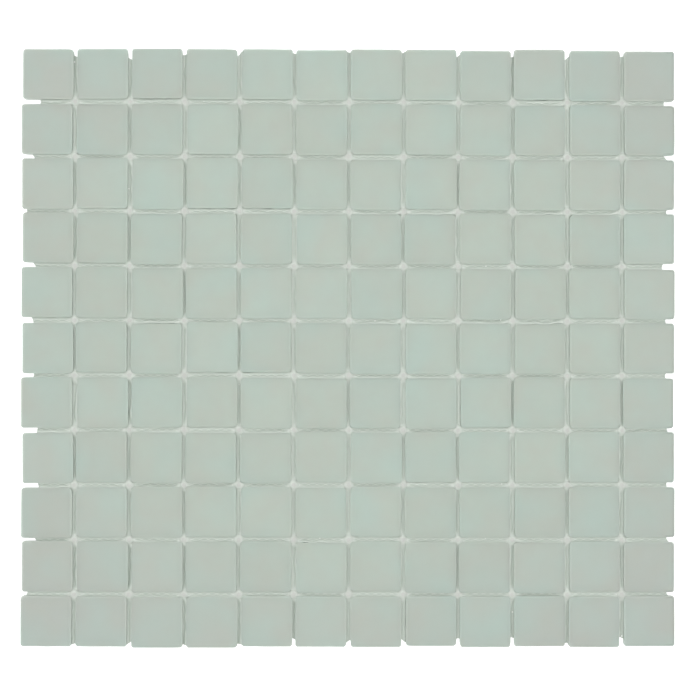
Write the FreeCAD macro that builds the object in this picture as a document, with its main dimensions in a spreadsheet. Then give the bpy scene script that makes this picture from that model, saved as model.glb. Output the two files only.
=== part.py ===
import FreeCAD, Part
import math
import os
import Sketcher
from FreeCAD import Vector

# Mesh-mounted sheet of pressed glass mosaic tiles, lying flat with its face up.
# X runs along the tile rows, Y from the bottom row to the top row, and Z is up.
# The origin is under the middle of the sheet, on the surface that the mesh lies on.

doc = FreeCAD.newDocument("MosaicTileSheet")

# Sizes, in millimetres and degrees
sizes = doc.addObject("Spreadsheet::Sheet", "Sizes")
driving_sizes = [
    ("column_count", 12, "tiles along X"),
    ("row_count", 11, "tiles along Y"),
    ("tile_side", 25.4, "side of a tile's face"),
    ("tile_thickness", 5.0, "glass thickness, back to face"),
    ("joint_width", 2.1, "nominal gap between two tiles"),
    ("corner_cut", 1.3, "leg of the cut at a tile's upright corners"),
    ("face_chamfer", 0.5, "eased edge round a tile's face"),
    ("side_draft", 3.0, "angle by which the pressed sides lean in towards the back"),
    ("key_groove_count", 4, "grooves in a tile's back, for the bedding mortar"),
    ("key_groove_pitch", 4.8, "distance between two grooves"),
    ("key_groove_width", 1.8, "groove width at the back"),
    ("key_groove_depth", 0.7, "groove depth"),
    ("key_groove_length", 19.0, "groove length, closed at both ends"),
    ("lay_wander", 0.42, "how far a hand-laid tile may stray from its place"),
    ("lay_turn", 0.35, "how far a hand-laid tile may be turned"),
    ("yarn_pitch", 4.2, "distance between two yarns of the mesh"),
    ("yarn_width", 0.9, "width of a flat yarn"),
    ("yarn_thickness", 0.25, "thickness of a flat yarn"),
    ("yarn_tail", 1.4, "length of a yarn outside the last one that it crosses"),
    ("mesh_inset_left", 7.7, "from the left tiles' outer edge to the cut mesh"),
    ("mesh_inset_right", 4.8, "from the right tiles' outer edge to the cut mesh"),
    ("mesh_inset_bottom", 4.4, "from the bottom row's outer edge to the cut mesh"),
    ("mesh_inset_top", 4.6, "from the top row's outer edge to the cut mesh"),
]
for line, (alias, value, meaning) in enumerate(driving_sizes, start=1):
    sizes.set(f"A{line}", meaning)
    sizes.set(f"B{line}", str(value))
    sizes.setAlias(f"B{line}", alias)
doc.recompute()

# Expressions that several pieces share
tile_pitch = "(Sizes.tile_side + Sizes.joint_width)"
half_length = f"(Sizes.column_count * {tile_pitch} - Sizes.joint_width) / 2"
half_width = f"(Sizes.row_count * {tile_pitch} - Sizes.joint_width) / 2"
mesh_left = f"(Sizes.mesh_inset_left - {half_length})"
mesh_right = f"({half_length} - Sizes.mesh_inset_right)"
mesh_bottom = f"(Sizes.mesh_inset_bottom - {half_width})"
mesh_top = f"({half_width} - Sizes.mesh_inset_top)"


def add_body(name, label):
    body = doc.addObject("PartDesign::Body", name)
    body.Label = label
    return body


def origin_feature(body, role):
    return next(item for item in body.Origin.OriginFeatures if item.Role == role)


def add_sketch(body, name, plane, points):
    """Sketch with one closed outline of straight lines through the points."""
    sketch = body.newObject("Sketcher::SketchObject", name)
    sketch.AttachmentSupport = [(origin_feature(body, plane), "")]
    sketch.MapMode = "FlatFace"
    count = len(points)
    for index, (x, y) in enumerate(points):
        next_x, next_y = points[(index + 1) % count]
        sketch.addGeometry(Part.LineSegment(Vector(x, y, 0), Vector(next_x, next_y, 0)), False)
    for index in range(count):
        sketch.addConstraint(Sketcher.Constraint("Coincident", index, 2, (index + 1) % count, 1))
    return sketch


def bind_distance(sketch, name, kind, start, end, expression):
    """Named DistanceX or DistanceY between two points of a sketch, bound to the sizes."""
    drawn = sketch.getPoint(*end) - sketch.getPoint(*start)
    value = drawn.x if kind == "DistanceX" else drawn.y
    index = sketch.addConstraint(Sketcher.Constraint(kind, *start, *end, value))
    sketch.renameConstraint(index, name)
    sketch.setExpression(f"Constraints.{name}", expression)


def add_row_of(body, feature, name, axis, count, spacing):
    """Pattern of a feature's copies along one axis of its body."""
    pattern = body.newObject("PartDesign::LinearPattern", name)
    pattern.Originals = [feature]
    pattern.Direction = (origin_feature(body, axis), [""])
    pattern.Mode = "Spacing"
    pattern.setExpression("Offset", spacing)
    pattern.setExpression("Occurrences", count)
    body.Tip = pattern
    doc.recompute()
    return pattern


def edges_at_height(shape, height):
    """Names of the edges that lie level at a height."""
    return [
        f"Edge{number}"
        for number, edge in enumerate(shape.Edges, start=1)
        if all(abs(vertex.Z - height) < 1e-6 for vertex in edge.Vertexes)
    ]


# One pressed tile, with its back on the XY plane and its face up
def sketch_tile_face(body):
    """Square with cut corners, at the height of the tile's face."""
    half = sizes.tile_side / 2
    flat = half - sizes.corner_cut
    corners = [
        (-flat, -half), (flat, -half), (half, -flat), (half, flat),
        (flat, half), (-flat, half), (-half, flat), (-half, -flat),
    ]
    sketch = add_sketch(body, "TileFace", "XY_Plane", corners)
    front, right, back, left = 0, 2, 4, 6
    x_axis, y_axis = -1, -2
    centre = (-1, 1)
    for side, axis in ((front, y_axis), (back, y_axis), (left, x_axis), (right, x_axis)):
        sketch.addConstraint(Sketcher.Constraint("Symmetric", side, 1, side, 2, axis))
    for side in (right, back, left):
        sketch.addConstraint(Sketcher.Constraint("Equal", front, side))
    bind_distance(sketch, "half_length", "DistanceX", (left, 1), centre, "Sizes.tile_side / 2")
    bind_distance(sketch, "half_width", "DistanceY", (front, 1), centre, "Sizes.tile_side / 2")
    bind_distance(sketch, "length", "DistanceX", (left, 1), (right, 1), "Sizes.tile_side")
    bind_distance(sketch, "width", "DistanceY", (front, 1), (back, 1), "Sizes.tile_side")
    bind_distance(
        sketch, "straight_side", "DistanceX", (front, 1), (front, 2),
        "Sizes.tile_side - 2 * Sizes.corner_cut",
    )
    sketch.setExpression("AttachmentOffset.Base.z", "Sizes.tile_thickness")
    return sketch


def sketch_key_groove(body):
    """Upside-down V across the tile's back, at the first groove's place."""
    half = sizes.key_groove_width / 2
    sketch = add_sketch(
        body, "KeyGrooveSection", "XZ_Plane", [(-half, 0), (half, 0), (0, sizes.key_groove_depth)]
    )
    sketch.addConstraint(Sketcher.Constraint("Symmetric", 0, 1, 0, 2, -1, 1))
    sketch.addConstraint(Sketcher.Constraint("PointOnObject", 1, 2, -2))
    sketch.addConstraint(Sketcher.Constraint("Horizontal", 0))
    bind_distance(sketch, "width", "DistanceX", (0, 1), (0, 2), "Sizes.key_groove_width")
    bind_distance(sketch, "depth", "DistanceY", (0, 1), (1, 2), "Sizes.key_groove_depth")
    sketch.setExpression(
        "AttachmentOffset.Base.x", "-Sizes.key_groove_pitch * (Sizes.key_groove_count - 1) / 2"
    )
    return sketch


def make_tile():
    """Face outline drawn down to the back with its draft, face edge eased, back grooved."""
    body = add_body("Tile", "pressed tile")
    face = sketch_tile_face(body)
    doc.recompute()

    blank = body.newObject("PartDesign::Pad", "TileBlank")
    blank.Profile = face
    blank.Reversed = True
    blank.setExpression("Length", "Sizes.tile_thickness")
    blank.setExpression("TaperAngle", "-Sizes.side_draft")
    doc.recompute()

    eased = body.newObject("PartDesign::Chamfer", "EasedFaceEdge")
    eased.Base = (blank, edges_at_height(blank.Shape, sizes.tile_thickness))
    eased.setExpression("Size", "Sizes.face_chamfer")
    doc.recompute()

    groove = body.newObject("PartDesign::Pocket", "KeyGroove")
    groove.Profile = sketch_key_groove(body)
    groove.SideType = "Symmetric"
    groove.setExpression("Length", "Sizes.key_groove_length")
    doc.recompute()
    add_row_of(
        body, groove, "KeyGrooves", "X_Axis", "Sizes.key_groove_count", "Sizes.key_groove_pitch"
    )
    return body


# The tiles as they are laid on the mesh, a node for each row
def stray(column, row, turn):
    """Repeatable number from -1 to 1, different for each tile and for each way it strays."""
    swing = math.sin(12.9898 * column + 78.233 * row + 37.719 * turn) * 43758.5453
    return round(2 * (swing - math.floor(swing)) - 1, 3)


def lay_tile(tile, column, row):
    laid = doc.addObject("App::Link", f"Tile_{row}_{column}")
    laid.Label = f"tile {row}-{column}"
    laid.LinkedObject = tile
    place = f"({column} - (Sizes.column_count + 1) / 2) * {tile_pitch}"
    laid.setExpression("Placement.Base.x", f"{place} + {stray(column, row, 0)} * Sizes.lay_wander")
    laid.setExpression("Placement.Base.y", f"{stray(column, row, 1)} * Sizes.lay_wander")
    laid.setExpression("Placement.Rotation.Angle", f"{stray(column, row, 2)} * Sizes.lay_turn")
    return laid


def make_tile_row(tile, row):
    """Row 1 is the top one. The tiles' backs lie on the upper yarns."""
    tile_row = doc.addObject("Part::Compound", f"TileRow{row}")
    tile_row.Label = f"tile_row_{row}"
    tile_row.Links = [lay_tile(tile, column, row) for column in range(1, int(sizes.column_count) + 1)]
    tile_row.setExpression(
        "Placement.Base.y", f"((Sizes.row_count + 1) / 2 - {row}) * {tile_pitch}"
    )
    tile_row.setExpression("Placement.Base.z", "2 * Sizes.yarn_thickness")
    return tile_row


# The mesh: warp yarns along X on the floor, weft yarns along Y on top of them
def make_yarns(name, label, along, reach, across, spread, height):
    """Flat yarns with the length reach along one axis, repeated over the spread across it."""
    body = add_body(name, label)
    length, width = (20.0, 1.0) if along == "x" else (1.0, 20.0)
    section = add_sketch(
        body, f"{name}Outline", "XY_Plane", [(0, 0), (length, 0), (length, width), (0, width)]
    )
    section.addConstraint(Sketcher.Constraint("Coincident", 0, 1, -1, 1))
    for side in (0, 2):
        section.addConstraint(Sketcher.Constraint("Horizontal", side))
    for side in (1, 3):
        section.addConstraint(Sketcher.Constraint("Vertical", side))
    low, high = reach
    run = f"{high} - {low}"
    bind_distance(
        section, "length", "DistanceX", (0, 1), (0, 2), run if along == "x" else "Sizes.yarn_width"
    )
    bind_distance(
        section, "width", "DistanceY", (1, 1), (1, 2), "Sizes.yarn_width" if along == "x" else run
    )
    edge_low, edge_high = spread
    first = f"{edge_low} + Sizes.yarn_tail"
    section.setExpression(f"AttachmentOffset.Base.{along}", low)
    section.setExpression(f"AttachmentOffset.Base.{across}", first)
    section.setExpression("AttachmentOffset.Base.z", height)
    doc.recompute()

    yarn = body.newObject("PartDesign::Pad", f"{name}Yarn")
    yarn.Profile = section
    yarn.setExpression("Length", "Sizes.yarn_thickness")
    doc.recompute()

    room = f"({edge_high} - {edge_low} - 2 * Sizes.yarn_tail - Sizes.yarn_width)"
    add_row_of(
        body, yarn, f"{name}Set", f"{across.upper()}_Axis",
        f"floor({room} / Sizes.yarn_pitch) + 1", "Sizes.yarn_pitch",
    )
    return body


tile = make_tile()
pieces = [make_tile_row(tile, row) for row in range(1, int(sizes.row_count) + 1)]
pieces.append(
    make_yarns(
        "Warp", "mesh_warp_yarns", "x", (mesh_left, mesh_right), "y", (mesh_bottom, mesh_top), "0"
    )
)
pieces.append(
    make_yarns(
        "Weft", "mesh_weft_yarns", "y", (mesh_bottom, mesh_top), "x", (mesh_left, mesh_right),
        "Sizes.yarn_thickness",
    )
)
doc.recompute()

# Every object has to be sound before the pieces are written
for item in doc.Objects:
    if "Invalid" in item.State or "Error" in item.State:
        raise RuntimeError(f"{item.Name} didn't compute")
os.makedirs("parts", exist_ok=True)
for piece in pieces:
    if piece.Shape.isNull() or not piece.Shape.isValid():
        raise RuntimeError(f"{piece.Label} has no sound shape")
    piece.Shape.exportStep(f"parts/{piece.Label}.step")
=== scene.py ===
import math
import bmesh
import bpy
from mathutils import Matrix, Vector
from mathutils.geometry import tessellate_polygon


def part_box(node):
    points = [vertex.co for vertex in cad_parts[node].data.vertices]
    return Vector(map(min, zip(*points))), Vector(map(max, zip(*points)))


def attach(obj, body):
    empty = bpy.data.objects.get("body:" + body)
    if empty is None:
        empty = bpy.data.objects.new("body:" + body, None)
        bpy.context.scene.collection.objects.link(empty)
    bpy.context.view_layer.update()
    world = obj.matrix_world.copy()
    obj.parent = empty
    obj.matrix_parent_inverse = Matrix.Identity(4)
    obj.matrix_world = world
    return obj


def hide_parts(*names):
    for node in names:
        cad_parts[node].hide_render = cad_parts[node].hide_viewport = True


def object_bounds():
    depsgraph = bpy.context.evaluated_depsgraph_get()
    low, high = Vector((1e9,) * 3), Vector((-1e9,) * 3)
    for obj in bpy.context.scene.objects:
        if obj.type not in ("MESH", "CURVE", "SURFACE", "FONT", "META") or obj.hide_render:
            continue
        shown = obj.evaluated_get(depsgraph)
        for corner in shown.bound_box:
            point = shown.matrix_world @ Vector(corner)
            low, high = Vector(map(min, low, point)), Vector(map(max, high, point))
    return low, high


# Mosaic tile sheet: pressed glass tiles on a woven glass-fibre mesh, seen from straight above.
# Everything is in metres, and mm turns the sizes below into them.
mm = 0.001
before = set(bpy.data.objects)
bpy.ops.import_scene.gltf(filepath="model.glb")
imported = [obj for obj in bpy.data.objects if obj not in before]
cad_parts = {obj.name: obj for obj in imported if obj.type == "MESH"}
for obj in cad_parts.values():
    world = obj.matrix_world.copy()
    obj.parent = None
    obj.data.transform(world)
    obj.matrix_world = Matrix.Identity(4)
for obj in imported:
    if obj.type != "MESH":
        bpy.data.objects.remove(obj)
cadBounds = [list(corner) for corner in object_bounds()]
tileNodes = [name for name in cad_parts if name.startswith("tile_row_")]
tileNodes.sort(key=lambda name: int(name.rsplit("_", 1)[1]))
print("frame loaded,", len(tileNodes), "rows of tiles")


class Signal:  # an output socket that can stand in a sum
    def __init__(self, kit, socket):
        self.kit = kit
        self.socket = socket

    def join(self, operation, *terms):
        return self.kit.add("ShaderNodeMath", {"operation": operation}, terms)

    def __add__(self, other):
        return self.join("ADD", self, other)

    def __radd__(self, other):
        return self.join("ADD", other, self)

    def __sub__(self, other):
        return self.join("SUBTRACT", self, other)

    def __rsub__(self, other):
        return self.join("SUBTRACT", other, self)

    def __mul__(self, other):
        return self.join("MULTIPLY", self, other)

    def __rmul__(self, other):
        return self.join("MULTIPLY", other, self)

    def __truediv__(self, other):
        return self.join("DIVIDE", self, other)

    def __rtruediv__(self, other):
        return self.join("DIVIDE", other, self)

    def power(self, exponent):
        return self.join("POWER", self, exponent)

    def absolute(self):
        return self.join("ABSOLUTE", self)

    def sine(self):
        return self.join("SINE", self)

    def atLeast(self, low):
        return self.join("MAXIMUM", self, low)

    def atMost(self, high):
        return self.join("MINIMUM", self, high)

    def clamped(self, low=0.0, high=1.0):
        return self.atLeast(low).atMost(high)

    def near(self, middle, width):  # 1 at the middle, 0 from a width away
        return (1.0 - (self - middle).absolute() / width).atLeast(0.0)


class NodeKit:  # adds nodes to one tree, of a material or of Geometry Nodes
    def __init__(self, tree):
        self.tree = tree

    def add(self, kind, settings=None, values=None, output=0):
        node = self.tree.nodes.new(kind)
        for name, value in (settings or {}).items():
            setattr(node, name, value)
        places = values.items() if isinstance(values, dict) else enumerate(values or [])
        for place, value in places:
            if isinstance(value, Signal):
                self.tree.links.new(value.socket, node.inputs[place])
            else:
                node.inputs[place].default_value = value
        return Signal(self, node.outputs[output]) if node.outputs else node

    def blend(self, share, first, second):  # two colours
        return self.add("ShaderNodeMix", {"data_type": "RGBA"}, {0: share, 6: first, 7: second}, output=2)

    def vector(self, operation, first, second, output=0):
        return self.add("ShaderNodeVectorMath", {"operation": operation}, [first, second], output)

    def scaled(self, vector, factor):
        return self.add("ShaderNodeVectorMath", {"operation": "SCALE"}, {"Vector": vector, "Scale": factor})

    def length(self, vector):
        return self.add("ShaderNodeVectorMath", {"operation": "LENGTH"}, [vector], output=1)

    def axis(self, vector, index):
        return self.add("ShaderNodeSeparateXYZ", {}, [vector], output=index)

    def combined(self, x=0.0, y=0.0, z=0.0):
        return self.add("ShaderNodeCombineXYZ", {}, [x, y, z])

    def noise(self, place, scale, detail, roughness=0.5, output=0):
        values = {"Vector": place, "Scale": scale, "Detail": detail, "Roughness": roughness}
        return self.add("ShaderNodeTexNoise", {}, values, output)

    def bump(self, height, strength, depth, under=None):
        values = {"Strength": strength, "Distance": depth, "Height": height}
        if under:
            values["Normal"] = under
        return self.add("ShaderNodeBump", {}, values)

    def painted(self, name, output=2):  # what a mesh carries for its material, a vector at output 1
        return self.add("ShaderNodeAttribute", {"attribute_name": name}, {}, output)

    def stored(self, name, kind="FLOAT"):  # what a mesh carries for its Geometry Nodes
        return self.add("GeometryNodeInputNamedAttribute", {"data_type": kind}, {"Name": name})

    def store(self, geometry, domain, name, value):
        settings = {"data_type": "FLOAT", "domain": domain}
        values = {"Geometry": geometry, "Name": name, "Value": value}
        return self.add("GeometryNodeStoreNamedAttribute", settings, values)

    def random(self, low, high, seed):
        values = {2: low, 3: high, "Seed": seed}
        return self.add("FunctionNodeRandomValue", {"data_type": "FLOAT"}, values, output=1)

    def randomVector(self, low, high, seed):
        values = {0: low, 1: high, "Seed": seed}
        return self.add("FunctionNodeRandomValue", {"data_type": "FLOAT_VECTOR"}, values)

    def shifted(self, geometry, offset):
        return self.add("GeometryNodeSetPosition", {}, {"Geometry": geometry, "Offset": offset})

    def placed(self, geometry, position):
        return self.add("GeometryNodeSetPosition", {}, {"Geometry": geometry, "Position": position})


def addObject(name, data):
    thing = bpy.data.objects.new(name, data)
    bpy.context.scene.collection.objects.link(thing)
    return thing


def solidsOf(nodeName):  # the corners of each separate solid of a CAD node, from a merged copy of its mesh
    merged = bmesh.new()
    merged.from_mesh(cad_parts[nodeName].data)
    bmesh.ops.remove_doubles(merged, verts=merged.verts, dist=0.001 * mm)
    seen = set()
    solids = []
    for start in merged.verts:
        if start in seen:
            continue
        seen.add(start)
        queue = [start]
        corners = []
        while queue:
            vertex = queue.pop()
            corners.append(vertex.co.copy())
            for edge in vertex.link_edges:
                other = edge.other_vert(vertex)
                if other not in seen:
                    seen.add(other)
                    queue.append(other)
        solids.append(corners)
    merged.free()
    return solids


def spanOf(points, axis):
    return min(point[axis] for point in points), max(point[axis] for point in points)


def carry(mesh, numbers):  # a number or a vector for each point, under each label
    for label, values in numbers.items():
        if isinstance(values[0], float):
            mesh.attributes.new(label, "FLOAT", "POINT").data.foreach_set("value", values)
        else:
            flat = [number for vector in values for number in vector]
            mesh.attributes.new(label, "FLOAT_VECTOR", "POINT").data.foreach_set("vector", flat)


def pointMesh(name, places, numbers, edges=()):  # loose points or lines, for a tree to start from
    mesh = bpy.data.meshes.new(name)
    mesh.from_pydata([tuple(place) for place in places], list(edges), [])
    carry(mesh, numbers)
    return mesh


def startTree(name, inputs):  # Geometry Nodes tree with a geometry in, a geometry out and named inputs
    tree = bpy.data.node_groups.new(name, "GeometryNodeTree")
    tree.interface.new_socket("Geometry", in_out="INPUT", socket_type="NodeSocketGeometry")
    for label, kind in inputs.items():
        tree.interface.new_socket(label, in_out="INPUT", socket_type="NodeSocket" + kind)
    tree.interface.new_socket("Geometry", in_out="OUTPUT", socket_type="NodeSocketGeometry")
    kit = NodeKit(tree)
    source = tree.nodes.new("NodeGroupInput")
    return kit, {socket.name: Signal(kit, socket) for socket in source.outputs if socket.name}


def endTree(kit, geometry, material):
    real = kit.add("GeometryNodeRealizeInstances", {}, [geometry])
    dressed = kit.add("GeometryNodeSetMaterial", {}, {"Geometry": real, "Material": material})
    sink = kit.tree.nodes.new("NodeGroupOutput")
    kit.tree.links.new(dressed.socket, sink.inputs[0])
    return kit.tree


def asInputs(values):  # what a dictionary calls cornerCut, a tree calls Corner Cut
    spaced = ("".join(" " + letter if letter.isupper() else letter for letter in key) for key in values)
    return {label.title(): value for label, value in zip(spaced, values.values())}


def growPiece(name, tree, seedMesh, values):  # runs the tree on a mesh and keeps the plain result
    piece = addObject(name, seedMesh)
    modifier = piece.modifiers.new("grow", "NODES")
    modifier.node_group = tree
    for item in tree.interface.items_tree:
        if item.in_out == "INPUT" and item.name in values:
            modifier[item.identifier] = values[item.name]
    evaluated = piece.evaluated_get(bpy.context.evaluated_depsgraph_get())
    grown = bpy.data.meshes.new_from_object(evaluated)
    piece.modifiers.remove(modifier)
    piece.data = grown
    grown.name = name
    return piece


def newMaterial(name):
    material = bpy.data.materials.new(name)
    material.use_nodes = True
    material.node_tree.nodes.clear()
    return material, NodeKit(material.node_tree)


def finishMaterial(kit, values):
    surface = kit.add("ShaderNodeBsdfPrincipled", {}, values)
    kit.add("ShaderNodeOutputMaterial", {}, {"Surface": surface})


def patches(noise, look):  # where a noise stands out
    return ((noise - 0.5) * look["gain"] + look["level"]).clamped() * look["share"]


# Satin glass: a sage with painted shade that greys it towards the sheet's edge, where the light falls off,
# with warmer and cooler patches in it.
# Widths and places near a tile's edge are shares of the tile's rimWidth.
glassLook = {
    "paleSage": (0.404, 0.466, 0.408, 1.0),
    "falloffShadeSage": (0.397, 0.432, 0.400, 1.0),
    "warmSage": (0.430, 0.452, 0.402, 1.0),
    "coolSage": (0.362, 0.464, 0.420, 1.0),
    "flankLitSage": (0.50, 0.56, 0.51, 1.0),
    "paleCentre": 15.0 * mm,
    "falloffShadeFrom": 0.75,
    "falloffShadeGain": 1.6,
    "warm": {"gain": 2.2, "level": 0.5, "share": 0.55},
    "cool": {"gain": 2.6, "level": 0.3, "share": 0.6},
    "cloudSize": 9.0 * mm,
    "driftSize": 22.5 * mm,
    "toneSpread": 0.035,
    "cloudSpread": 0.07,
    "rimShade": 0.06,
    "flankLightGain": 2.5,
    "shoulderHighlight": {"at": 0.01, "width": 0.03, "glow": 0.2},
    "outerLine": {"at": 0.12, "width": 0.1, "right": 0.2, "near": 0.04},
    "outerFade": 3.0 * mm,
    "satin": 0.42,
    "satinSpread": 0.12,
    "glow": 0.9,
    "glowDepth": 4.5 * mm,
    "grainSize": 0.35 * mm,
    "grainDepth": 0.02 * mm,
    "grainStrength": 0.35,
    "rippleSize": 9.0 * mm,
    "rippleDepth": 0.12 * mm,
    "rippleStrength": 0.3,
}


def satinGlass():
    look = glassLook
    material, kit = newMaterial("satinPressedGlass")
    place = kit.add("ShaderNodeTexCoord", output=3)
    rim = kit.painted("rim")  # 0 at the face's edge, up to 1 inside it, below 0 on the sides
    tone = kit.painted("tone")  # each tile's own
    cloud = kit.noise(place, 1 / look["cloudSize"], 2.0)
    drift = kit.noise(place, 1 / look["driftSize"], 1.0)
    # painted shade: the glass greys towards the sheet's edge, as the light falls off there
    half = [(high - low) / 2 for low, high in zip(*cadBounds)]
    outward = kit.vector("SUBTRACT", place, (0.0, look["paleCentre"], 0.0))
    outward = kit.vector("MULTIPLY", outward, (1 / half[0], 1 / half[1], 0.0))
    outer = (kit.length(outward) - look["falloffShadeFrom"]) * look["falloffShadeGain"]
    glass = kit.blend(outer.clamped(), look["paleSage"], look["falloffShadeSage"])
    glass = kit.blend(patches(cloud, look["warm"]), glass, look["warmSage"])
    glass = kit.blend(patches(drift, look["cool"]), glass, look["coolSage"])
    # painted light on the tile's sides, lifting the shade that falls between the tiles
    flank = (0.0 - rim).clamped() * look["flankLightGain"]
    glass = kit.blend(flank.atMost(1.0), glass, look["flankLitSage"])
    edgeShade = (1.0 - rim.atLeast(0.0)).power(2.0) * look["rimShade"]
    # painted highlight along the very edge of each face
    shoulderHighlight = rim.near(look["shoulderHighlight"]["at"], look["shoulderHighlight"]["width"]) * look["shoulderHighlight"]["glow"]
    line = look["outerLine"]  # along the sheet's own right and near edges: full one fade in, gone two in
    right = ((kit.axis(place, 0) - cadBounds[1][0]) / look["outerFade"] + 2.0).clamped()
    near = ((cadBounds[0][1] - kit.axis(place, 1)) / look["outerFade"] + 2.0).clamped()
    outerShade = rim.near(line["at"], line["width"]) * (right * line["right"] + near * line["near"])
    brightness = 1.0 + (tone - 0.5) * look["toneSpread"] + (drift - cloud) * look["cloudSpread"]
    brightness = brightness - edgeShade + shoulderHighlight - outerShade
    grain = kit.noise(place, 1 / look["grainSize"], 2.0)
    ripple = kit.noise(place, 1 / look["rippleSize"], 1.0)
    relief = kit.bump(grain, look["grainStrength"], look["grainDepth"])
    relief = kit.bump(ripple, look["rippleStrength"], look["rippleDepth"], relief)
    finishMaterial(kit, {
        "Base Color": kit.scaled(glass, brightness),
        "Roughness": look["satin"] + (grain - 0.5) * look["satinSpread"],
        "IOR": 1.5,
        "Subsurface Weight": look["glow"],
        "Subsurface Radius": (1.0, 1.0, 1.0),
        "Subsurface Scale": look["glowDepth"],
        "Normal": relief,
    })
    return material


# Yarn with a dull coating, smoother and whiter where adhesive has soaked in
yarnLook = {
    "coated": (0.80, 0.79, 0.75, 1.0),
    "soaked": (0.86, 0.86, 0.83, 1.0),
    "soakedSize": 3.0 * mm,
    "soakedFrom": 0.42,
    "soakedGain": 5.0,
    "soakedGloss": 0.2,
    "fibreSize": 0.12 * mm,
    "fibreDepth": 0.03 * mm,
    "fibreStrength": 0.4,
    "dull": 0.62,
}


def coatedYarn():
    look = yarnLook
    material, kit = newMaterial("coatedGlassFibreYarn")
    place = kit.add("ShaderNodeTexCoord", output=3)
    blot = kit.noise(place, 1 / look["soakedSize"], 3.0)
    fibre = kit.noise(place, 1 / look["fibreSize"], 1.0)
    soaked = ((blot - look["soakedFrom"]) * look["soakedGain"]).clamped()
    finishMaterial(kit, {
        "Base Color": kit.blend(soaked, look["coated"], look["soaked"]),
        "Roughness": look["dull"] - soaked * look["soakedGloss"],
        "Normal": kit.bump(fibre, look["fibreStrength"], look["fibreDepth"]),
    })
    return material


# Dried adhesive: the yarns of the mesh show through it as milkier lines, and the knots are greyer
adhesiveLook = {
    "body": (0.50, 0.555, 0.50, 1.0),
    "milky": (0.66, 0.70, 0.65, 1.0),
    "arm": (0.505, 0.53, 0.49, 1.0),
    "knot": (0.455, 0.475, 0.44, 1.0),
    "bead": (0.92, 0.92, 0.90, 1.0),
    "twist": 0.55 * mm,
    "endWidth": 0.35 * mm,
    "cloudSize": 5.0 * mm,
    "cloudMilk": 0.4,
    "weftMilk": 0.25,
    "warpMilk": 0.95,
    "columnMilk": 0.08,
    "rowPaintedShade": -0.20,
    "armPatches": 4.0,
    "knotFrom": 0.55,
    "knotGain": 7.0,
    "pimpleSize": 0.8 * mm,
    "pimpleDepth": 0.1 * mm,
    "pimpleStrength": 0.4,
    "dull": 0.45,
    "dullSpread": 0.2,
}


def driedAdhesive(firstWeft):
    look = adhesiveLook
    material, kit = newMaterial("driedAdhesive")
    place = kit.add("ShaderNodeTexCoord", output=3)
    knot = kit.painted("knot")
    cloud = kit.noise(place, 1 / look["cloudSize"], 2.0) - 0.5
    pimple = kit.noise(place, 1 / look["pimpleSize"], 2.0)
    swing = (kit.axis(place, 0) - firstWeft) * (math.pi / weave["pitch"])
    swing = swing.sine().absolute()  # 0 at each weft yarn, 1 midway
    inRow = kit.axis(kit.painted("across", 1), 1)  # 1 in the joints that run from left to right
    aside = (kit.axis(place, 1) - kit.painted("middle")).absolute()
    warp = aside.near(swing * look["twist"], look["endWidth"]) * inRow
    weft = (1.0 - swing).power(2.0)
    milk = cloud * look["cloudMilk"] + weft * look["weftMilk"] + warp * look["warpMilk"]
    # painted shade: the adhesive in the joints that run from left to right is made darker than in the others
    milk = milk + look["columnMilk"] + inRow * (look["rowPaintedShade"] - look["columnMilk"])
    colour = kit.blend(milk.clamped(), look["body"], look["milky"])
    colour = kit.blend((knot * (cloud * look["armPatches"] + 1.0)).clamped(), colour, look["arm"])
    colour = kit.blend(((knot - look["knotFrom"]) * look["knotGain"]).clamped(), colour, look["knot"])
    finishMaterial(kit, {
        "Base Color": kit.blend(kit.painted("bead"), colour, look["bead"]),
        "Roughness": look["dull"] + cloud * look["dullSpread"],
        "Normal": kit.bump(pimple, look["pimpleStrength"], look["pimpleDepth"]),
    })
    return material


glassMaterial = satinGlass()
yarnMaterial = coatedYarn()
print("materials made")

# One pressed tile in millimetres, its back on z = 0 and its middle on the origin
tileShape = {
    "side": 25.3,
    "height": 5.0,
    "cornerRadius": 0.8,
    "leastRadius": 0.3,
    "radiusLoss": 0.3,  # for each millimetre inwards
    "arcSteps": 1,
    "sideShares": (-0.88, -0.44, 0.0, 0.44, 0.88),
    "faceRings": [(6.5, 0.0), (3.0, 0.03), (1.0, 0.08), (0.28, 0.12), (0.09, 0.19), (0.01, 0.33), (0.0, 0.5)],
    "backRings": [(0.2, 4.75), (0.38, 5.0)],
    "rimWidth": 6.0,
    "cornerReach": 2.7,
    "grooves": 4,
    "groovePitch": 4.8,
    "grooveWidth": 1.8,
    "grooveDepth": 0.7,
    "grooveLength": 19.0,
}


def tileRing(inset, depth):
    shape = tileShape
    half = shape["side"] / 2 - inset
    radius = max(shape["cornerRadius"] - shape["radiusLoss"] * inset, shape["leastRadius"])
    flat = half - radius
    ring = []
    for quarter in range(4):
        turn = quarter * math.pi / 2
        across = Vector((math.cos(turn), math.sin(turn)))
        along = Vector((-across.y, across.x))
        ring += [across * half + along * flat * share for share in shape["sideShares"]]
        for step in range(shape["arcSteps"] + 1):
            angle = step / shape["arcSteps"] * math.pi / 2
            outwards = flat + radius * math.cos(angle)
            sidewards = flat + radius * math.sin(angle)
            ring.append(across * outwards + along * sidewards)
    return [Vector((point.x, point.y, shape["height"] - depth)) for point in ring]


def cornerPull(point):  # towards the tile's middle, strongest at its four corners
    half = tileShape["side"] / 2
    away = (half - abs(point.x)) + (half - abs(point.y))
    share = max(0.0, 1.0 - away / tileShape["cornerReach"])
    return Vector((-math.copysign(share, point.x), -math.copysign(share, point.y), 0.0))


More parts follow.
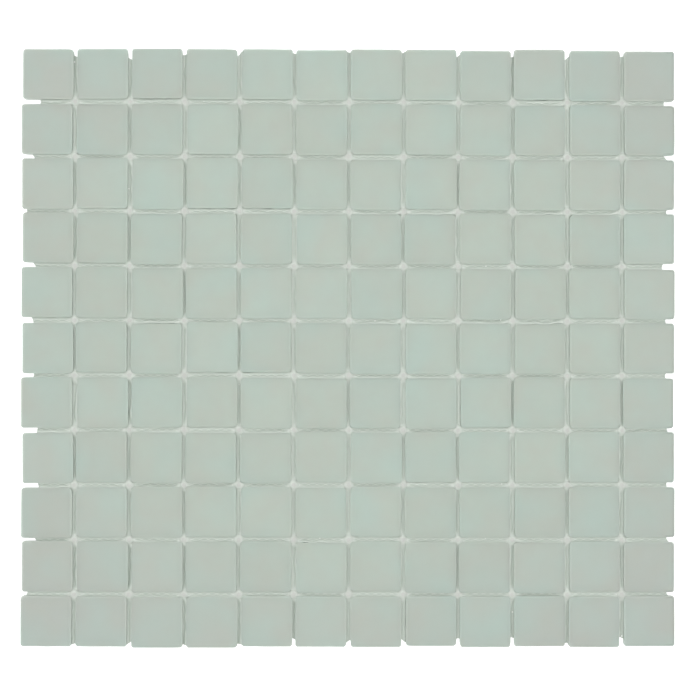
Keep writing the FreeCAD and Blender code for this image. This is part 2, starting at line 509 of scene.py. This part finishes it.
def grooveCorners(x):  # the mouth and the two ends of the ridge of one keying groove in the back
    shape = tileShape
    half, reach, depth = shape["grooveWidth"] / 2, shape["grooveLength"] / 2, shape["grooveDepth"]
    mouth = [(x - half, -reach, 0), (x + half, -reach, 0), (x + half, reach, 0), (x - half, reach, 0)]
    ridge = [(x, depth - reach, depth), (x, reach - depth, depth)]
    return [Vector(point) for point in mouth + ridge]


def makeTileMesh():
    shape = tileShape
    rings = shape["faceRings"] + shape["backRings"]
    corners, rims, faces = [], [], []
    for inset, depth in rings:
        onFace = (inset, depth) in shape["faceRings"]
        corners += tileRing(inset, depth)
        share = min(inset / shape["rimWidth"], 1.0) if onFace else -depth / shape["height"]
        rims += [share] * (len(corners) - len(rims))
    count = len(corners) // len(rings)
    faces.append(list(range(count)))
    for ring in range(len(rings) - 1):
        for step in range(count):
            following = (step + 1) % count
            low, high = ring * count, (ring + 1) * count
            faces.append([low + step, high + step, high + following, low + following])
    loops = [list(range((len(rings) - 1) * count, len(corners)))]
    for groove in range(shape["grooves"]):
        first = len(corners)
        corners += grooveCorners((groove - (shape["grooves"] - 1) / 2) * shape["groovePitch"])
        rims += [-1.0] * (len(corners) - first)
        a, b, c, d, front, back = range(first, len(corners))
        loops.append([a, b, c, d])
        faces += [[a, b, front], [b, c, back, front], [c, d, back], [d, a, front, back]]
    flatLoops = [index for loop in loops for index in loop]
    for triangle in tessellate_polygon([[corners[index] for index in loop] for loop in loops]):
        faces.append([flatLoops[place] for place in triangle])
    mesh = bpy.data.meshes.new("pressedTile")
    mesh.from_pydata([corner * mm for corner in corners], [], faces)
    carry(mesh, {"rim": rims, "pull": [cornerPull(corner) for corner in corners]})
    solid = bmesh.new()
    solid.from_mesh(mesh)
    bmesh.ops.recalc_face_normals(solid, faces=solid.faces)
    solid.to_mesh(mesh)
    solid.free()
    return mesh


# Tiles laid on their places, each a little different in size, tone and outline
laying = {
    "smallest": 1.001,
    "largest": 1.017,
    "shorter": 0.992,
    "outlineWander": 0.16 * mm,
    "wanderLength": 7.0 * mm,
    "wanderDown": 0.15,  # how much of it changes down the sides
    "chipScale": 0.6,
    "chipFrom": 0.45,
    "outerChip": 0.4,  # of a corner on the sheet's edge, against 1 at a crossing of joints
    "cornerCut": 3.6 * mm,
    "knotCut": 0.45 * mm,
    "knotNear": 5.0 * mm,
    "knotFade": 1.5 * mm,
    "crossingHeight": 0.4 * mm,
    "creaseAngle": math.radians(38),
}


def layingTree():
    kit, given = startTree("layTiles", {
        "Tile": "Object",
        "Seed": "Int",
        "Smallest": "Float",
        "Largest": "Float",
        "Shorter": "Float",
        "Outline Wander": "Float",
        "Wander Length": "Float",
        "Corner Cut": "Float",
        "Knot Cut": "Float",
        "Knot Near": "Float",
        "Knot Fade": "Float",
        "Crossings": "Object",
        "Box Low": "Vector",
        "Box High": "Vector",
        "Material": "Material",
    })
    size = kit.random(given["Smallest"], given["Largest"], given["Seed"])
    laid = kit.add("GeometryNodeInstanceOnPoints", {}, {
        "Points": given["Geometry"],
        "Instance": kit.add("GeometryNodeObjectInfo", {}, {"Object": given["Tile"]}, output="Geometry"),
        "Rotation": kit.combined(z=kit.stored("turn")),
        "Scale": kit.combined(size, size * given["Shorter"], 1.0),
    })
    laid = kit.store(laid, "INSTANCE", "tone", kit.random(0.0, 1.0, given["Seed"] + 50.0))
    real = kit.add("GeometryNodeRealizeInstances", {}, [laid])
    place = kit.add("GeometryNodeInputPosition")

    # the outline wanders, and the face's middle stays
    level = kit.vector("MULTIPLY", place, (1.0, 1.0, laying["wanderDown"]))
    wobble = kit.noise(level, 1.0 / given["Wander Length"], 2.0, roughness=0.6, output="Color")
    wobble = kit.vector("SUBTRACT", wobble, (0.5, 0.5, 0.5))
    wobble = kit.vector("MULTIPLY", wobble, (1.0, 1.0, 0.0))
    share = 1.0 - kit.stored("rim").atLeast(0.0)
    wander = kit.scaled(wobble, given["Outline Wander"] * 2.0 * share)

    # chips off the corners, other ones on each tile, and room for the knots
    chip = kit.add("ShaderNodeTexNoise", {"noise_dimensions": "4D"}, {
        "Vector": place,
        "W": kit.stored("tone") * 40.0,
        "Scale": laying["chipScale"] / given["Wander Length"],
        "Detail": 0.0,
    }, output=1)
    chip = kit.vector("SUBTRACT", chip, (laying["chipFrom"],) * 3)
    chip = kit.vector("MAXIMUM", chip, (0.0, 0.0, 0.0))
    target = kit.add("GeometryNodeObjectInfo", {}, {"Object": given["Crossings"]}, output=4)
    nearest = kit.add("GeometryNodeProximity", {"target_element": "POINTS"}, {"Target": target}, output=1)
    inner = ((given["Knot Near"] - nearest) / given["Knot Fade"]).clamped()
    chip = kit.scaled(chip, given["Corner Cut"] * (inner * (1.0 - laying["outerChip"]) + laying["outerChip"]))
    cut = kit.vector("ADD", kit.scaled((1.0, 1.0, 0.0), inner * given["Knot Cut"]), chip)
    cut = kit.vector("MULTIPLY", kit.stored("pull", "FLOAT_VECTOR"), cut)

    moved = kit.shifted(real, kit.vector("ADD", wander, cut))
    within = kit.vector("MAXIMUM", kit.vector("MINIMUM", place, given["Box High"]), given["Box Low"])
    return endTree(kit, kit.placed(moved, within), given["Material"])


def tilePlaces(nodeName):  # middle and turn of each tile in a row, from its face's cut corners
    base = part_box(nodeName)[0].z
    places, turns = [], []
    for corners in solidsOf(nodeName):
        top = max(corner.z for corner in corners)
        face = [corner for corner in corners if corner.z > top - 0.01 * mm]
        middle = sum(face, Vector()) / len(face)
        near = [corner - middle for corner in face if corner.x > middle.x and corner.y > middle.y]
        diagonal = sum(near, Vector())
        places.append(Vector((middle.x, middle.y, base)))
        turns.append(math.atan2(diagonal.y, diagonal.x) - math.pi / 4)
    return places, turns


def jointMiddles():  # y between the rows of tiles, x between their columns
    rows = [sum((corner.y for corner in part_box(name)), 0.0) / 2 for name in tileNodes]
    places = [sorted(place.x for place in tilePlaces(name)[0]) for name in tileNodes]
    columns = [sum(row[index] for row in places) / len(places) for index in range(len(places[0]))]
    return [[(one + other) / 2 for one, other in zip(run, run[1:])] for run in (rows, columns)]


betweenRows, betweenColumns = jointMiddles()
crossings = [Vector((x, y, laying["crossingHeight"])) for y in betweenRows for x in betweenColumns]
crossingObject = addObject("crossings", pointMesh("crossings", crossings, {}))
masterTile = addObject("masterTile", makeTileMesh())
layTiles = layingTree()
faceCount = 0
for row, nodeName in enumerate(tileNodes, start=1):
    places, turns = tilePlaces(nodeName)
    low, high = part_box(nodeName)
    piece = growPiece(f"glassTilesRow{row}", layTiles, pointMesh(f"row{row}", places, {"turn": turns}), {
        **asInputs(laying),
        "Tile": masterTile,
        "Seed": row,
        "Crossings": crossingObject,
        "Box Low": tuple(low),
        "Box High": tuple(high),
        "Material": glassMaterial,
    })
    piece.data.set_sharp_from_angle(angle=laying["creaseAngle"])
    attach(piece, "root")
    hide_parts(nodeName)
    faceCount += len(piece.data.polygons)
bpy.data.objects.remove(masterTile)
print("tiles laid,", faceCount, "faces")

# The woven mesh: flat weft yarns, each held between the two twisted ends of every warp pair
weave = {
    "pitch": 4.2 * mm,
    "ragged": 0.8 * mm,
    "wander": 0.25 * mm,
    "wanderLength": 45.0 * mm,
    "profileSides": 4,
    "midwayLift": 0.45,
}
warpYarn = {
    "sides": (1.0, -1.0),
    "heading": 0.0,
    "sway": 0.30 * mm,
    "lift": 0.165 * mm,
    "width": 0.50 * mm,
    "thickness": 0.16 * mm,
    "pinch": 0.0,
}
weftYarn = {
    "sides": (1.0,),
    "heading": math.pi / 2,
    "sway": 0.0,
    "lift": 0.0,
    "width": 0.95 * mm,
    "thickness": 0.17 * mm,
    "pinch": 0.16,
}


def yarnTree():
    kit, given = startTree("layYarns", {
        "Half Cells": "Int",
        "Half Cell": "Float",
        "Heading": "Float",
        "Sway": "Float",
        "Lift": "Float",
        "Width": "Float",
        "Thickness": "Float",
        "Pinch": "Float",
        "Ragged": "Float",
        "Wander": "Float",
        "Wander Length": "Float",
        "Profile Sides": "Int",
        "Seed": "Int",
        "Material": "Material",
    })
    reach = kit.combined(x=given["Half Cells"] * given["Half Cell"])
    line = kit.add("GeometryNodeCurvePrimitiveLine", {"mode": "POINTS"}, {"End": reach})
    line = kit.add("GeometryNodeResampleCurve", {"mode": "COUNT"}, {
        "Curve": line, "Count": given["Half Cells"] + 1.0,
    })
    step = kit.add("GeometryNodeSplineParameter", output=2)
    swing = (step * (math.pi / 2)).sine()
    held = swing.absolute()  # 1 where a crossing yarn is held, 0 midway
    lift = given["Lift"] * (held * (1.0 - weave["midwayLift"]) + weave["midwayLift"])
    strand = kit.shifted(line, kit.combined(0.0, given["Sway"] * swing, lift))
    strand = kit.add("GeometryNodeSetCurveRadius", {}, {
        "Curve": strand, "Radius": 1.0 - held * given["Pinch"],
    })
    side = kit.stored("side")
    strands = kit.add("GeometryNodeInstanceOnPoints", {}, {
        "Points": given["Geometry"],
        "Instance": strand,
        "Rotation": kit.combined(z=given["Heading"]),
        "Scale": kit.combined(1.0, side, side),
    })
    strands = kit.store(strands, "INSTANCE", "trim", kit.random(0.0, 1.0, given["Seed"]))
    curves = kit.add("GeometryNodeRealizeInstances", {}, [strands])

    # each end is cut a little short
    share = kit.add("GeometryNodeSplineParameter")
    shorter = kit.stored("trim") * given["Ragged"] * (1.0 - share * 2.0)
    curves = kit.add("GeometryNodeSetPosition", {}, {
        "Geometry": curves,
        "Selection": kit.add("GeometryNodeCurveEndpointSelection"),
        "Offset": kit.scaled(kit.add("GeometryNodeInputTangent"), shorter),
    })
    curves = kit.add("GeometryNodeSetCurveNormal", {"mode": "Z_UP"}, {"Curve": curves})
    profile = kit.add("GeometryNodeCurvePrimitiveCircle", {"mode": "RADIUS"}, {
        "Resolution": given["Profile Sides"], "Radius": 0.5,
    })
    profile = kit.add("GeometryNodeTransform", {}, {
        "Geometry": profile, "Scale": kit.combined(given["Width"], given["Thickness"], 1.0),
    })
    yarns = kit.add("GeometryNodeCurveToMesh", {}, {
        "Curve": curves, "Profile Curve": profile, "Fill Caps": True,
    })
    level = kit.vector("MULTIPLY", kit.add("GeometryNodeInputPosition"), (1.0, 1.0, 0.0))
    drift = kit.noise(level, 1.0 / given["Wander Length"], 1.0, output=1)
    drift = kit.vector("MULTIPLY", kit.vector("SUBTRACT", drift, (0.5, 0.5, 0.5)), (2.0, 2.0, 0.0))
    yarns = kit.shifted(yarns, kit.scaled(drift, given["Wander"]))
    yarns = kit.add("GeometryNodeSetShadeSmooth", {}, {"Geometry": yarns, "Shade Smooth": True})
    return endTree(kit, yarns, given["Material"])


def yarnStarts(nodeName, along):  # where each straight CAD yarn begins, on its middle line
    across = 1 - along
    starts = []
    for corners in solidsOf(nodeName):
        start = Vector((0.0, 0.0, 0.0))
        start[along] = spanOf(corners, along)[0]
        start[across] = sum(spanOf(corners, across)) / 2
        starts.append(start)
    low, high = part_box(nodeName)
    return starts, high[along] - low[along]


layYarns = yarnTree()
meshMiddle = (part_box("mesh_warp_yarns")[0].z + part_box("mesh_weft_yarns")[1].z) / 2
for nodeName, pieceName, along, yarn in (
    ("mesh_warp_yarns", "leno.warp", 0, warpYarn),
    ("mesh_weft_yarns", "leno.weft", 1, weftYarn),
):
    starts, length = yarnStarts(nodeName, along)
    places = [Vector((start.x, start.y, meshMiddle)) for start in starts for side in yarn["sides"]]
    sides = list(yarn["sides"]) * len(starts)
    piece = growPiece(pieceName, layYarns, pointMesh(pieceName, places, {"side": sides}), {
        **asInputs(weave),
        **asInputs(yarn),
        "Half Cells": round(length / weave["pitch"] * 2),
        "Half Cell": weave["pitch"] / 2,
        "Seed": 7 + along,
        "Material": yarnMaterial,
    })
    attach(piece, "root")
    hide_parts(nodeName)
    print(pieceName, "made,", len(piece.data.polygons), "faces")

# Adhesive squeezed up into the joints. It ends short of the rim by a gap of its own at each joint, in
# millimetres, and is cut off there at a slant. The outline of a strip is in millimetres too.
adhesive = {
    "leftGaps": (9.4, 6.0, 2.2, 6.8, 5.9, 6.1, 8.3, 8.4, 7.6, 2.9),
    "rightGaps": (5.4, 4.8, 3.8, 5.9, 4.2, 4.5, 3.8, 3.8, 3.5, 3.8),
    "topGaps": (3.7, 5.0, 3.2, 2.5, 1.8, 1.7, 1.8, 3.5, 3.6, 4.3, 3.2),
    "bottomGaps": (1.8, 2.3, 1.4, 1.6, 4.3, 3.0, 3.3, 4.0, 4.5, 2.2, 4.8),
    "leftSlants": (0.0, -0.7, -0.2, -0.9, -0.6, -0.2, 0.0, -0.7, -0.6, 0.5),
    "rightSlants": (0.3, -0.6, 0.4, 0.4, 0.1, 0.0, -0.1, 0.1, -0.4, -0.6),
    "topSlants": (-0.6, -0.9, 0.0, 1.0, -0.3, 0.0, 0.5, 0.8, 0.6, 1.0, 0.3),
    "bottomSlants": (0.3, 0.9, -0.1, -0.1, -0.4, 1.0, -0.9, 0.0, -0.7, -0.3, -1.0),
    "outline": [
        (-2.4, 0.1), (-2.4, 0.45), (-1.8, 0.6), (-1.55, 4.4), (-0.65, 3.5), (0.0, 3.0),
        (0.65, 3.5), (1.55, 4.4), (1.8, 0.6), (2.4, 0.45), (2.4, 0.1),
    ],
    "rowLift": 0.25 * mm,
    "columnLift": 0.2 * mm,
    "leanRange": 100.0 * mm,
    "leastLean": 0.3,
    "step": 1.4 * mm,
    "slantReach": 1.2 * mm,
    "footHeight": 1.0 * mm,
    "leanWidth": 0.5 * mm,
    "leanHeight": 0.7 * mm,
    "lumpHeight": 0.12 * mm,
    "lumpSize": 4.0 * mm,
    "flow": 0.35 * mm,
    "flowScale": 0.8,
    "armReach": 4.8 * mm,
    "armSlope": 2.4 * mm,
    "armHeight": 4.75 * mm,
    "knotReach": 3.6 * mm,
    "knotWidth": 3.4 * mm,
    "knotHeight": 4.85 * mm,
    "knotFoot": 0.3 * mm,
    "knotTurn": 3.0,
    "knotSquareness": 8.0,
    "smallestKnot": (0.85, 0.8, 0.95),
    "largestKnot": (1.2, 1.05, 1.03),
    "beadShare": 0.012,
    "beadSize": 0.45 * mm,
    "smallestBead": 0.5,
    "beadShape": (1.0, 1.0, 0.7),
    "beadLow": (-0.8 * mm, -0.8 * mm, 2.5 * mm),
    "beadHigh": (0.8 * mm, 0.8 * mm, 3.3 * mm),
}


def adhesiveTree():
    kit, given = startTree("squeezeAdhesive", {
        "Section": "Object",
        "Step": "Float",
        "Slant Reach": "Float",
        "Foot Height": "Float",
        "Lean Width": "Float",
        "Lean Height": "Float",
        "Lump Height": "Float",
        "Lump Size": "Float",
        "Flow": "Float",
        "Crossings": "Object",
        "Arm Reach": "Float",
        "Arm Slope": "Float",
        "Arm Height": "Float",
        "Knot Reach": "Float",
        "Knot Width": "Float",
        "Knot Height": "Float",
        "Knot Foot": "Float",
        "Smallest Knot": "Vector",
        "Largest Knot": "Vector",
        "Bead Share": "Float",
        "Bead Size": "Float",
        "Bead Low": "Vector",
        "Bead High": "Vector",
        "Seed": "Int",
        "Material": "Material",
    })
    place = kit.add("GeometryNodeInputPosition")
    level = kit.vector("MULTIPLY", place, (1.0, 1.0, 0.0))
    height = kit.axis(place, 2)

    # a strip along each joint, its ends slanted
    lines = kit.add("GeometryNodeMeshToCurve", {}, [given["Geometry"]])
    lines = kit.add("GeometryNodeResampleCurve", {"mode": "LENGTH"}, {
        "Curve": lines, "Length": given["Step"],
    })
    lines = kit.add("GeometryNodeSetCurveNormal", {"mode": "Z_UP"}, {"Curve": lines})
    slant = kit.stored("slant")
    lines = kit.store(lines, "POINT", "slant", slant * kit.add("GeometryNodeCurveEndpointSelection"))
    section = kit.add("GeometryNodeObjectInfo", {}, {"Object": given["Section"]}, output=4)
    section = kit.add("GeometryNodeMeshToCurve", {}, [section])
    strips = kit.add("GeometryNodeCurveToMesh", {}, {
        "Curve": lines, "Profile Curve": section, "Fill Caps": True,
    })
    strips = kit.add("GeometryNodeFlipFaces", {}, {"Mesh": strips})
    across = kit.stored("across", "FLOAT_VECTOR")
    along = kit.vector("SUBTRACT", (1.0, 1.0, 0.0), across)
    aside = kit.vector("DOT_PRODUCT", place, across, output=1) - kit.stored("middle")
    aside = aside.clamped(0.0 - given["Slant Reach"], given["Slant Reach"])
    strips = kit.shifted(strips, kit.scaled(along, slant * aside))

    # the strips lean and swell a little, and rise to the knots
    target = kit.add("GeometryNodeObjectInfo", {}, {"Object": given["Crossings"]}, output=4)
    nearest = kit.add("GeometryNodeProximity", {"target_element": "POINTS"}, {
        "Target": target, "Source Position": level,
    }, output=1)
    knot = (1.0 - nearest / given["Knot Reach"]).atLeast(0.0)
    strips = kit.store(strips, "POINT", "knot", knot)
    lumps = kit.noise(place, 1.0 / given["Lump Size"], 1.0)
    drift = kit.noise(place, adhesive["flowScale"] / given["Lump Size"], 0.0, output=1)
    drift = kit.vector("MULTIPLY", kit.vector("SUBTRACT", drift, (0.5, 0.5, 0.5)), (4.0, 4.0, 0.0))
    lean = (kit.stored("lean") * aside / given["Lean Width"]).clamped(-1.0, 1.0)
    rise = (lumps - 0.5) * 2.0 * given["Lump Height"] + lean * given["Lean Height"]
    arm = ((given["Arm Reach"] - nearest) / given["Arm Slope"]).clamped()  # 1 where it meets a knot
    rise = rise * (1.0 - arm) + (given["Arm Height"] - height) * arm
    raised = ((height - given["Foot Height"]) / given["Foot Height"]).clamped()
    offset = kit.vector("ADD", kit.scaled(drift, given["Flow"]), kit.combined(z=rise * raised))
    strips = kit.shifted(strips, offset)

    # a few beads beside the middle lines
    chance = kit.add("FunctionNodeRandomValue", {"data_type": "BOOLEAN"}, {
        "Probability": given["Bead Share"], "Seed": given["Seed"],
    }, output=3)
    fat = kit.random(adhesive["smallestBead"], 1.0, given["Seed"] + 1.0)
    ball = kit.add("GeometryNodeMeshIcoSphere", {}, {"Radius": 1.0, "Subdivisions": 2})
    beads = kit.add("GeometryNodeInstanceOnPoints", {}, {
        "Points": lines,
        "Selection": chance,
        "Instance": ball,
        "Scale": kit.scaled(adhesive["beadShape"], fat * given["Bead Size"]),
    })
    beads = kit.add("GeometryNodeTranslateInstances", {}, {
        "Instances": beads,
        "Translation": kit.randomVector(given["Bead Low"], given["Bead High"], given["Seed"] + 2.0),
        "Local Space": False,
    })
    beads = kit.store(beads, "INSTANCE", "bead", 1.0)
    beads = kit.add("GeometryNodeRealizeInstances", {}, [beads])

    # a knot at each crossing, squarer than a ball and cut off at its foot
    square = adhesive["knotSquareness"]
    plump = (kit.length(level).power(square) + (height * height).power(square / 2)).power(-1 / square)
    size = kit.randomVector(given["Smallest Knot"], given["Largest Knot"], given["Seed"] + 3.0)
    spread = kit.combined(given["Knot Width"], given["Knot Width"], given["Knot Height"])
    knots = kit.add("GeometryNodeInstanceOnPoints", {}, {
        "Points": target,
        "Instance": kit.placed(ball, kit.scaled(place, plump)),
        "Rotation": kit.scaled((0.0, 0.0, adhesive["knotTurn"]), fat),
        "Scale": kit.vector("MULTIPLY", size, spread),
    })
    knots = kit.add("GeometryNodeRealizeInstances", {}, [knots])
    knots = kit.placed(knots, kit.vector("MAXIMUM", place, kit.combined(-1.0, -1.0, given["Knot Foot"])))
    knots = kit.store(knots, "POINT", "knot", knot)

    both = kit.add("GeometryNodeJoinGeometry")
    for part in (strips, beads, knots):
        kit.tree.links.new(part.socket, both.socket.node.inputs[0])
    both = kit.add("GeometryNodeSetShadeSmooth", {}, {"Geometry": both, "Shade Smooth": True})
    return endTree(kit, both, given["Material"])


def jointLines():  # a line with two ends down each joint, and numbers for its ends
    low, high = cadBounds
    least = adhesive["leastLean"]
    points = []
    numbers = {"slant": [], "middle": [], "lean": [], "across": []}

    def addLine(ends, slants, middle, lean, across):
        points.extend(ends)
        numbers["slant"] += slants
        numbers["middle"] += [middle] * 2
        numbers["lean"] += [lean] * 2
        numbers["across"] += [across] * 2

    for index, y in enumerate(betweenRows):
        share = min(max((y - low[1]) / adhesive["leanRange"], least), 1.0)
        z = adhesive["rowLift"] * (share - least)
        left = low[0] + adhesive["leftGaps"][index] * mm
        right = high[0] - adhesive["rightGaps"][index] * mm
        slants = [adhesive["leftSlants"][index], adhesive["rightSlants"][index]]
        addLine([(left, y, z), (right, y, z)], slants, y, -share, (0.0, 1.0, 0.0))
    for index, x in enumerate(betweenColumns):
        share = min(max(x / adhesive["leanRange"], -1.0), 1.0)
        z = adhesive["columnLift"] * max(share, 0.0)
        bottom = low[1] + adhesive["bottomGaps"][index] * mm
        top = high[1] - adhesive["topGaps"][index] * mm
        slants = [adhesive["bottomSlants"][index], adhesive["topSlants"][index]]
        addLine([(x, bottom, z), (x, top, z)], slants, x, -share, (1.0, 0.0, 0.0))
    edges = [(index, index + 1) for index in range(0, len(points), 2)]
    return pointMesh("jointLines", points, numbers, edges)


section = [(-x * mm, -y * mm, 0.0) for x, y in adhesive["outline"]]  # the sweep turns it the right way up
sides = [(index, (index + 1) % len(section)) for index in range(len(section))]
sectionObject = addObject("adhesiveSection", pointMesh("adhesiveSection", section, {}, sides))
firstWeft = min(start.x for start in yarnStarts("mesh_weft_yarns", 1)[0])
piece = growPiece("jointAdhesive", adhesiveTree(), jointLines(), {
    **asInputs(adhesive),
    "Section": sectionObject,
    "Crossings": crossingObject,
    "Seed": 21,
    "Material": driedAdhesive(firstWeft),
})
bpy.data.objects.remove(sectionObject)
bpy.data.objects.remove(crossingObject)
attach(piece, "root")
print("adhesive made,", len(piece.data.polygons), "faces")

# Floor: paper just under the sheet, with a glow that keeps it plain white
paper = {
    "reach": 12.0,
    "sunk": 0.02 * mm,
    "colour": (0.4, 0.4, 0.4, 1.0),
    "dull": 0.9,
    "white": (1.0, 1.0, 1.0, 1.0),
    "brightness": 0.95,
}
floorMesh = bpy.data.meshes.new("studioFloor")
floorCorners = [(x * paper["reach"], y * paper["reach"], 0) for x, y in ((-1, -1), (1, -1), (1, 1), (-1, 1))]
floorMesh.from_pydata(floorCorners, [], [(0, 1, 2, 3)])
floor = addObject("studioFloor", floorMesh)
floor.location.z = -paper["sunk"]
floorMaterial, floorKit = newMaterial("whitePaper")
finishMaterial(floorKit, {
    "Base Color": paper["colour"],
    "Roughness": paper["dull"],
    "Emission Color": paper["white"],
    "Emission Strength": paper["brightness"],
})
floorMesh.materials.append(floorMaterial)
print("floor laid")

# Camera above the middle, a little off the upright, as the photograph was taken
shot = {
    "height": 0.80,
    "frameWidth": 349.7 * mm,
    "sensor": 36.0,
    "aim": (-0.3 * mm, 0.05 * mm),
    "offset": (-7.4 * mm, -3.9 * mm),
    "roll": math.radians(0.08),
}
aim = Vector((*shot["aim"], cadBounds[1][2]))
camera = addObject("camera", bpy.data.cameras.new("camera"))
camera.data.sensor_width = shot["sensor"]
camera.data.lens = shot["sensor"] * shot["height"] / shot["frameWidth"]
camera.location = aim + Vector((*shot["offset"], shot["height"]))
leanX, leanY = (math.atan2(step, shot["height"]) for step in shot["offset"])
camera.rotation_euler = (-leanY, leanX, shot["roll"])
bpy.context.scene.camera = camera

# Light: a soft box above the camera, one on each side of the sheet, and a pale room
studio = {
    "topPower": 9.1,
    "topSize": 1.2,
    "topHeight": 1.25,
    "leftPower": 3.4,
    "rightPower": 3.0,
    "nearPower": 1.4,
    "farPower": 2.6,
    "sideSize": 0.7,
    "sideDistance": 0.9,
    "sideHeight": 0.6,
    "roomColour": (1.0, 1.0, 1.0, 1.0),
    "room": 0.36,
}


def softBox(name, place, size, power):
    light = bpy.data.lights.new(name, "AREA")
    light.shape = "SQUARE"
    light.size = size
    light.energy = power
    box = addObject(name, light)
    box.location = place
    box.rotation_euler = (-Vector(place)).to_track_quat("-Z", "Y").to_euler()


softBox("topBox", (0.0, 0.0, studio["topHeight"]), studio["topSize"], studio["topPower"])
for name, x, y in (("left", -1, 0), ("right", 1, 0), ("near", 0, -1), ("far", 0, 1)):
    place = (x * studio["sideDistance"], y * studio["sideDistance"], studio["sideHeight"])
    softBox(name + "Box", place, studio["sideSize"], studio[name + "Power"])
world = bpy.data.worlds.new("paleRoom")
world.use_nodes = True
room = world.node_tree.nodes["Background"].inputs
room["Color"].default_value = studio["roomColour"]
room["Strength"].default_value = studio["room"]
bpy.context.scene.world = world
bpy.context.scene.view_settings.view_transform = "Standard"
print("camera and lights set")
